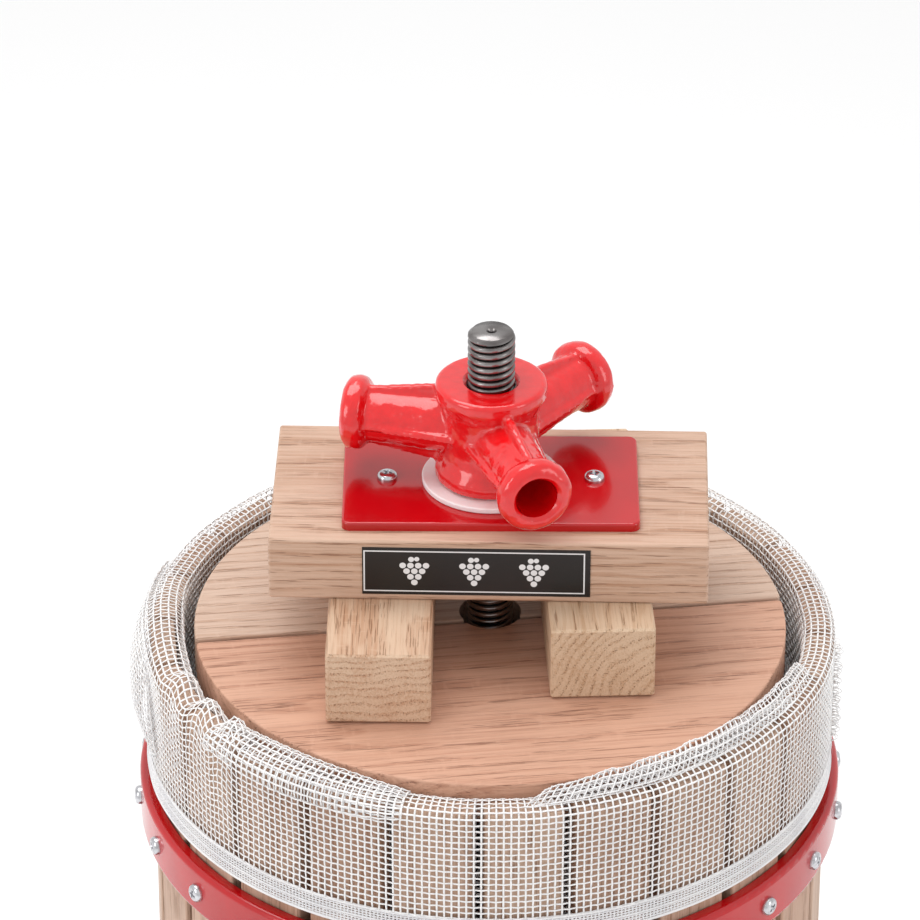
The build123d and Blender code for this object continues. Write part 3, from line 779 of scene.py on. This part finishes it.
wall_levels = np.arange(lining_low + mesh_pitch, rim_z - 0.044, mesh_pitch)
floor_radii = np.arange(hole_r, lining_r, mesh_pitch)
ring_points, ring_faces = level_rings(
    np.concatenate([wall_levels, np.full(len(floor_radii), lining_low)]),
    np.concatenate([np.full(len(wall_levels), lining_r), floor_radii]))
strand_path = [(lining_r, rim_z - lining_top_drop), (lining_r, lining_low + 0.09),
               (lining_r, lining_low + 0.0006), (lining_r - 0.0006, lining_low),
               (hole_r, lining_low)]
strand_points, strand_faces = [], []
for k in range(threads_round):
    a = 2 * pi * k / threads_round
    out = np.array([sin(a), -cos(a), 0.0])
    side = np.array([cos(a), sin(a), 0.0])
    start = len(strand_points)
    for step, (radius_here, z) in enumerate(strand_path):
        inward = -out if step < 3 else np.array([0, 0, 1.0])
        middle = out * radius_here + np.array([0, 0, z])
        strand_points += [middle + side * 0.0005, middle - side * 0.0005, middle + inward * 0.0006]
    strand_faces.append((start, start + 1, start + 2))
    strand_faces.append((len(strand_points) - 3, len(strand_points) - 2, len(strand_points) - 1))
    for step in range(len(strand_path) - 1):
        b = start + 3 * step
        strand_faces += [(b + m, b + (m + 1) % 3, b + 3 + (m + 1) % 3, b + 3 + m) for m in range(3)]
all_faces = ring_faces.tolist() + [[len(ring_points) + c for c in face] for face in strand_faces]
bag_lining = tidy_mesh(new_piece("bag_lining", np.concatenate([ring_points, strand_points]),
                                 all_faces, white_thread))

# Bag hem: a band of closer mesh sewn to the skirt's lower edge, with a rolled welt along its
# top and bottom and a row of stitches between them.
hem_foot = (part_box("bag_hem")[0].z - rim_z) * 1000
hem_r = 177.5
welt_r = 177.7
hem_columns = 560
hem_turns = np.arange(hem_columns) * 360 / hem_columns
hem_swing = 0.35 * ripple(hem_turns, 5)
hem_heights = np.array([0.6, 2.1, 3.6, 5.1, 6.5, 7.9, 9.4, 10.9, 12.4]) + hem_foot
hem_rows = np.stack([
    np.stack([hem_r + hem_swing, np.full(hem_columns, height) + 1.2 * hem_swing], -1)
    for height in hem_heights
])
hem_vertices, hem_faces = mesh_threads(around(hem_rows, hem_turns), weave=0.0002)


def welt(height, out, up):
    """A thick rolled edge round the hem, four-sided, at a height from the hem's foot."""
    points = []
    level = np.full(hem_columns, height) + 1.2 * hem_swing
    for dr, dz in ((out, 0), (0, up), (-out, 0), (0, -up)):
        ring = np.stack([welt_r + hem_swing + dr, level + dz], -1)
        points.append(around(ring, hem_turns))
    index = np.arange(4 * hem_columns).reshape(4, hem_columns)
    ahead = np.roll(index, -1, 1)
    faces = [np.stack([index[k], ahead[k], ahead[(k + 1) % 4], index[(k + 1) % 4]], -1)
             for k in range(4)]
    return np.concatenate(points), np.concatenate(faces)


for height, out, up in ((hem_heights[0], 0.95, 0.95), (hem_heights[-1], 0.8, 0.8),
                        (hem_heights[4], 0.55, 0.7)):
    welt_vertices, welt_faces = welt(height, out, up)
    hem_faces = np.concatenate([hem_faces, welt_faces + len(hem_vertices)])
    hem_vertices = np.concatenate([hem_vertices, welt_vertices])
r = Recipe("white_hem_band")
twist = r.noise(r.millimetres(), (1.2, 1.2, 1.2), 2.0)
worn = r.noise(r.millimetres(), (0.03, 0.03, 0.03), 3.0)
hem_cloth = r.surface({
    "Base Color": r.blend(worn.step(0.35, 0.7), linear(240, 238, 238), linear(226, 224, 226)),
    "Roughness": twist * 0.2 + 0.5,
    "Subsurface Weight": 0.2,
    "Subsurface Radius": (0.6, 0.55, 0.5),
    "Subsurface Scale": 0.002,
    "Sheen Weight": 0.3,
    "Normal": r.relief(twist, 0.0002),
})
hem_band = tidy_mesh(new_piece("hem_band", hem_vertices, hem_faces, hem_cloth))

# Bag side seam: the mesh's two cut edges, sewn together up the right side, frayed into loops.
seam_luck = np.random.default_rng(11)
fray_points, fray_faces = [], []
seam_at = radians(84)
seam_out = np.array([sin(seam_at), -cos(seam_at), 0.0])
seam_side = np.array([cos(seam_at), sin(seam_at), 0.0])
seam_r = 0.1779
fray_loops = 46
fray_spacing = 0.0013
fray_bends = 8
for k in range(fray_loops):
    z = rim_z - 0.056 + k * fray_spacing
    reach = 0.0032 + seam_luck.uniform(-0.001, 0.0016)
    sway = seam_luck.uniform(-0.0012, 0.0012)
    start = len(fray_points)
    for step in range(fray_bends + 1):
        t = pi * step / fray_bends
        middle = (seam_out * (seam_r + reach * sin(t)) + seam_side * (sway + 0.0014 * cos(t))
                  + np.array([0, 0, z + 0.0011 * cos(t)]))
        fray_points += [middle + seam_side * 0.0003, middle + np.array([0, 0, 0.00035]),
                        middle - seam_side * 0.0003]
    fray_faces.append((start, start + 1, start + 2))
    last = start + 3 * fray_bends
    fray_faces.append((last, last + 1, last + 2))
    for step in range(fray_bends):
        b = start + 3 * step
        fray_faces += [(b + m, b + (m + 1) % 3, b + 3 + (m + 1) % 3, b + 3 + m) for m in range(3)]
seam_fray = tidy_mesh(new_piece("bag_seam", fray_points, fray_faces, white_thread))

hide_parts("press_bag")
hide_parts("bag_hem")
for piece in (bag_top, tuck_right, tuck_inner, overlap_left, crescent, bag_lining, hem_band,
              seam_fray):
    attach(piece, "bag")

# Label: a thin dark plate stuck to the beam's front, printed with a light keyline and a plain
# grape and leaf motif.
label_low, label_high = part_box("label_plate")
label_middle = (label_low + label_high) / 2
r = Recipe("label_print")
px, py, pz = r.split(r.millimetres((0, 0, -beam_yaw)))
lx = px - label_middle.x * 1000
lz = pz - label_middle.z * 1000
half_l = (label_high.x - label_low.x) * 500
half_h = (label_high.z - label_low.z) * 500
keyline_outer = 1.7
keyline_inner = 2.4
bunch_spacing = 30
grape_r = 1.65
grape_across = 3.9
grape_down = 3.3
soft_edge = 0.08


def inside_box(reach_x, reach_z):
    """1 inside a rectangle about the label's middle, given its half sizes."""
    return (lx.unsigned().step(reach_x + soft_edge, reach_x - soft_edge)
            * lz.unsigned().step(reach_z + soft_edge, reach_z - soft_edge))


def spot(x, z, size):
    """1 inside a round spot."""
    away = ((lx - x) * (lx - x) + (lz - z) * (lz - z)) ** 0.5
    return away.step(size + 0.12, size - 0.12)


print_mask = (inside_box(half_l - keyline_outer, half_h - keyline_outer)
              - inside_box(half_l - keyline_inner, half_h - keyline_inner))
for bunch_x in (-bunch_spacing, 0, bunch_spacing):
    for row, grapes in enumerate((4, 3, 2, 1)):
        for k in range(grapes):
            grape_x = bunch_x + (k - (grapes - 1) / 2) * grape_across
            print_mask = print_mask + spot(grape_x, 3.4 - grape_down * row, grape_r)
    print_mask = print_mask + spot(bunch_x + 1.2, 7.2, 1.3) + spot(bunch_x - 1.6, 7.0, 1.5)
scuff = r.noise(r.millimetres(), (0.3, 0.3, 0.3), 4.0)
dress(["label_plate"], r.surface({
    "Base Color": r.blend(print_mask.step(0.2, 0.8), linear(24, 23, 24), linear(225, 225, 226)),
    "Roughness": scuff * 0.12 + 0.32,
    "Normal": r.relief(scuff, 0.00001),
}))

# Thrust washer: a ring turned from natural nylon, milky and a little see-through, that the
# head turns on.
washer_low, washer_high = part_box("thrust_washer")
washer_bore = 0.0126
edge = 0.0005
washer_sides = 128
washer_profile = [(washer_bore, washer_low.z + edge), (washer_bore + edge, washer_low.z),
                  (washer_high.x - edge, washer_low.z), (washer_high.x, washer_low.z + edge),
                  (washer_high.x, washer_high.z - edge), (washer_high.x - edge, washer_high.z),
                  (washer_bore + edge, washer_high.z), (washer_bore, washer_high.z - edge)]
corners = len(washer_profile)
washer_points = [(rr * cos(2 * pi * k / washer_sides), rr * sin(2 * pi * k / washer_sides), z)
                 for k in range(washer_sides) for rr, z in washer_profile]
washer_faces = []
for k in range(washer_sides):
    here, ahead = k * corners, (k + 1) % washer_sides * corners
    for m in range(corners):
        m2 = (m + 1) % corners
        washer_faces.append((here + m, here + m2, ahead + m2, ahead + m))
r = Recipe("natural_nylon")
place = r.millimetres()
milk = r.noise(place, (0.12, 0.12, 0.12), 3.0)
px, py, pz = r.split(place)
turned_rings = (((px * px + py * py) ** 0.5) / 0.7).fraction()
nylon = r.surface({
    "Base Color": r.blend(milk.step(0.3, 0.7), linear(242, 237, 237), linear(235, 228, 228)),
    "Roughness": milk * 0.15 + 0.28,
    "Subsurface Weight": 0.5,
    "Subsurface Radius": (1.0, 0.85, 0.8),
    "Subsurface Scale": 0.002,
    "IOR": 1.5,
    "Normal": r.relief(turned_rings, 0.00001),
})
nylon_washer = tidy_mesh(new_piece("nylon_washer", washer_points, washer_faces, nylon))
nylon_washer.data.set_sharp_from_angle(angle=radians(30))
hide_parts("thrust_washer")
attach(nylon_washer, "washer")

# Press head: a rough iron casting under thick glossy paint, a waisted hub between two flat ends
# with three beaded lever sockets, each stiffened by ribs that run into the hub.
head_low, head_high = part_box("press_head")
hub_h = head_high.z - head_low.z
hub_middle = head_low.z + hub_h / 2
sockets = [m for m in frame["record"]["mounts"] if m["name"].startswith("lever_socket")]


def lathe_body(name, profile, axis, middle, sides=96):
    """A closed solid turned about an axis through a point, from radius and length pairs."""
    across = axis.orthogonal().normalized()
    other = axis.cross(across)
    points, faces = [], []
    for k in range(sides):
        a = 2 * pi * k / sides
        way = across * cos(a) + other * sin(a)
        points += [middle + axis * length + way * radius_here for radius_here, length in profile]
    n = len(profile)
    for k in range(sides):
        k2 = (k + 1) % sides
        faces += [(k * n + m, k * n + m + 1, k2 * n + m + 1, k2 * n + m) for m in range(n - 1)]
    faces.append(tuple(k * n for k in range(sides)))
    faces.append(tuple(k * n + n - 1 for k in reversed(range(sides))))
    return tidy_mesh(new_piece(name, [tuple(p) for p in points], faces, red_enamel))


def wall(name, start, end, half_w, top, bottom):
    """A rib: an upright web between two points, tapering in height from one to the other."""
    way = (end - start).normalized()
    side = way.cross(Vector((0, 0, 1))) * half_w
    points = []
    for place_here, high, low in ((start, top[0], bottom[0]), (end, top[1], bottom[1])):
        for s in (-1, 1):
            points.append(tuple(place_here + side * s * 0.6 + Vector((0, 0, high))))
            points.append(tuple(place_here + side * s + Vector((0, 0, low))))
    faces = [(0, 2, 3, 1), (4, 5, 7, 6), (0, 4, 6, 2), (1, 3, 7, 5), (0, 1, 5, 4), (2, 6, 7, 3)]
    return tidy_mesh(new_piece(name, points, faces, red_enamel))


up_axis = Vector((0, 0, 1))
centre = Vector((0, 0, hub_middle))
half = hub_h / 2 - 0.0004
reach = 0.0758
rib_half_w = 0.0030
fin_half_w = 0.0034
fin_offset = 0.0125
cast_voxel = 0.00095
bodies = [lathe_body("hub", [
    (0.0268, -half), (0.0283, -half + 0.0012), (0.0284, -half + 0.0062), (0.0272, -half + 0.009),
    (0.0250, -half + 0.014), (0.0242, -half + 0.019), (0.0242, half - 0.019),
    (0.0250, half - 0.014), (0.0272, half - 0.009), (0.0284, half - 0.0062),
    (0.0283, half - 0.0012), (0.0268, half)], up_axis, centre)]
bores = [lathe_body("spindle_bore", [
    (0.0160, -hub_h), (0.0144, -half + 0.0001), (0.01208, -half + 0.0023),
    (0.01208, half - 0.0023), (0.0144, half - 0.0001), (0.0160, hub_h)], up_axis, centre)]
for number, socket in enumerate(sockets):
    axis = Vector(socket["axis"]).normalized()
    bodies.append(lathe_body(f"socket_{number}", [
        (0.0150, 0.004), (0.0152, 0.030), (0.0142, 0.052), (0.0142, reach - 0.0128),
        (0.0162, reach - 0.0122), (0.0186, reach - 0.0102), (0.0193, reach - 0.0065),
        (0.0187, reach - 0.0028), (0.0162, reach - 0.0006), (0.0140, reach)], axis, centre))
    bores.append(lathe_body(f"lever_bore_{number}", [
        (0.0108, 0.0310), (0.0108, reach - 0.0020), (0.0124, reach - 0.0001),
        (0.0180, reach + 0.004)], axis, centre))
    root, tip = centre + axis * 0.012, centre + axis * 0.064
    bodies.append(wall(f"rib_top_{number}", root, tip, rib_half_w,
                       (0.0240, 0.0158), (0.010, 0.010)))
    bodies.append(wall(f"rib_low_{number}", root, tip, rib_half_w,
                       (-0.010, -0.010), (-0.0240, -0.0158)))
    sideways = axis.cross(up_axis)
    for s in (-1, 1):
        off = sideways * s * fin_offset
        bodies.append(wall(f"fin_{number}_{s}", root + off * 1.3, tip + off, fin_half_w,
                           (0.0016, 0.0014), (-0.0016, -0.0014)))
cast_head = bodies[0]
joined = bmesh.new()
for body in bodies:
    joined.from_mesh(body.data)
joined.to_mesh(cast_head.data)
joined.free()
for body in bodies[1:]:
    bpy.data.objects.remove(body)
cast_head.name = "cast_head"
skin = cast_head.modifiers.new("skin", "REMESH")
skin.mode = "VOXEL"
skin.voxel_size = cast_voxel
soften = cast_head.modifiers.new("soften", "SMOOTH")
soften.factor = 0.5
soften.iterations = 5
bake_modifiers(cast_head)
places = np.empty(len(cast_head.data.vertices) * 3)
normals = np.empty_like(places)
cast_head.data.vertices.foreach_get("co", places)
cast_head.data.vertices.foreach_get("normal", normals)
places, normals = places.reshape(-1, 3), normals.reshape(-1, 3)
lumps = np.array([
    noise.noise(Vector(p) * 130) * 0.00030 + noise.noise(Vector(p) * 420) * 0.00013 for p in places
])
flat_end = np.abs(np.abs(places[:, 2] - hub_middle) - half) < 0.0012
lumps[flat_end] *= 0.15
places += normals * np.minimum(lumps, 0.00025)[:, None]
cast_head.data.vertices.foreach_set("co", places.ravel())
cast_head.data.update()
for bore in bores:
    cut(cast_head, bore)
r = Recipe("cast_red_paint")
place = r.millimetres()
px, py, pz = r.split(place)
from_axis = (px * px + py * py) ** 0.5
in_bore = from_axis.step(12.9, 12.4)
runs = r.noise(place, (0.22, 0.22, 0.22), 3.0)
pits = r.noise(place, (0.7, 0.7, 0.7), 2.0)
red = r.blend(runs.step(0.25, 0.8), linear(226, 14, 22), linear(212, 10, 18))
# Inside the spindle bore: dark unpainted steel with a painted helical thread, its darkest bands
# painted shade in the grooves between lighter flanks.
bearing = r.add("ShaderNodeMath", {"operation": "ARCTAN2"}, {0: py, 1: px})
winding = (pz / (thread_pitch * 1000) - bearing / (2 * pi)).fraction()
painted_thread_shading = winding.step(0.1, 0.35) * winding.step(0.95, 0.7)
bore_steel = r.blend(painted_thread_shading, linear(18, 17, 17), linear(88, 86, 84))
cast_paint = r.surface({
    "Base Color": r.blend(in_bore, red, bore_steel),
    "Roughness": runs * 0.08 + 0.16,
    "Metallic": in_bore * 0.8,
    "Coat Weight": 0.8,
    "Coat Roughness": 0.03,
    "Normal": r.relief(runs * 0.7 + pits * 0.12, 0.0003),
})
cast_head.data.materials.clear()
cast_head.data.materials.append(cast_paint)
cast_head.data.polygons.foreach_set("material_index", [0] * len(cast_head.data.polygons))
cast_head.data.set_sharp_from_angle(angle=radians(38))
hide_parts("press_head")
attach(cast_head, "head")

# Studio: a plain pale floor in a white room, with a broad soft light overhead, another at the
# left and a weaker one at the right.
floor = new_piece("floor", [(-9, -9, 0), (9, -9, 0), (9, 9, 0), (-9, 9, 0)], [(0, 1, 2, 3)],
                  red_enamel)
r = Recipe("studio_floor")
floor.data.materials.clear()
floor.data.materials.append(r.surface({"Base Color": (0.93, 0.93, 0.93, 1), "Roughness": 0.9}))
room = bpy.data.worlds.new("white_room")
room.use_nodes = True
room.node_tree.nodes["Background"].inputs["Color"].default_value = (1, 1, 1, 1)
room.node_tree.nodes["Background"].inputs["Strength"].default_value = 0.82
bpy.context.scene.world = room


def softbox(name, place_here, target, size, power):
    """A rectangular light that faces a point."""
    lamp = bpy.data.lights.new(name, "AREA")
    lamp.shape = "RECTANGLE"
    lamp.size, lamp.size_y = size
    lamp.energy = power
    box_object = bpy.data.objects.new(name, lamp)
    way = Vector(target) - Vector(place_here)
    box_object.matrix_world = (Matrix.Translation(place_here)
                               @ way.to_track_quat("-Z", "Y").to_matrix().to_4x4())
    bpy.context.scene.collection.objects.link(box_object)


softbox("overhead", (-0.4, 0.5, 2.6), (0, 0, 0.6), (1.8, 1.4), 26)
softbox("left", (-2.0, -1.4, 1.5), (0, 0, 0.6), (1.0, 1.4), 14)
softbox("right", (1.9, -1.0, 1.3), (0, 0, 0.6), (0.8, 1.4), 7)
